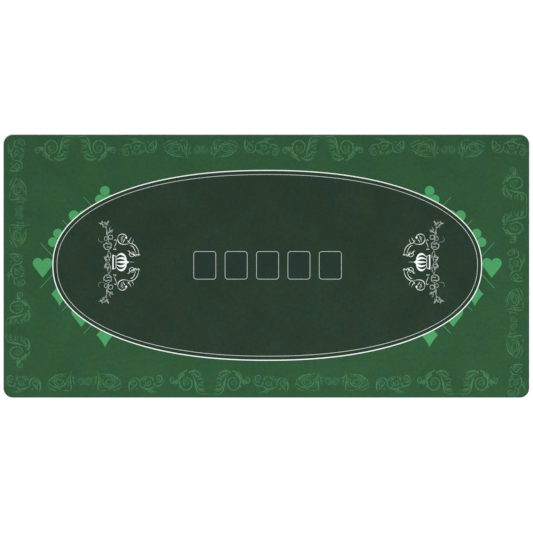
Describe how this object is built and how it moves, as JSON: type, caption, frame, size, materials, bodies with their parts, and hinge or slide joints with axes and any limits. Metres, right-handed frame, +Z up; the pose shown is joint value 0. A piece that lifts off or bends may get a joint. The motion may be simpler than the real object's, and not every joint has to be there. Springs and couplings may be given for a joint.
{
  "type": "roll-out poker mat",
  "caption": "Rubber-backed cloth mat with rounded corners, laid flat as a card-playing surface, printed with a dark oval, card boxes, suit marks, crowned crests and scroll borders.",
  "frame": {"origin": "middle of the underside, on the surface that the mat lies on", "axes": "+X along the mat's length, +Y across it to the far side, +Z up out of the playing face"},
  "size_m": [1.8, 0.9, 0.0032],
  "materials": {
    "rubber": "matt, fine embossed underside",
    "adhesive": "thin bonding film",
    "cloth": "fine knitted polyester, green",
    "ink_dark_green": "printed into the cloth's face",
    "ink_white": "printed into the cloth's face",
    "ink_grey": "printed into the cloth's face",
    "ink_bright_green": "printed into the cloth's face",
    "ink_leaf_green": "printed into the cloth's face"
  },
  "bodies": {
    "root": {"rubber_base": "rubber", "bond_film": "adhesive", "playing_cloth": "cloth", "oval_field": "ink_dark_green", "oval_line_outer": "ink_white", "oval_line_inner": "ink_white", "card_box_1": "ink_white", "card_box_2": "ink_white", "card_box_3": "ink_white", "card_box_4": "ink_white", "card_box_5": "ink_white", "suit_hearts": "ink_bright_green", "suit_clubs": "ink_bright_green", "suit_diamonds": "ink_bright_green", "lattice_lines": "ink_bright_green", "crown_left": "ink_white", "crown_right": "ink_white", "crest_scrolls_left": "ink_white", "crest_scrolls_right": "ink_white", "garland_left": "ink_grey", "garland_right": "ink_grey", "border_scrolls_far": "ink_leaf_green", "border_scrolls_right": "ink_leaf_green", "border_scrolls_near": "ink_leaf_green", "border_scrolls_left": "ink_leaf_green"}
  },
  "joints": []
}
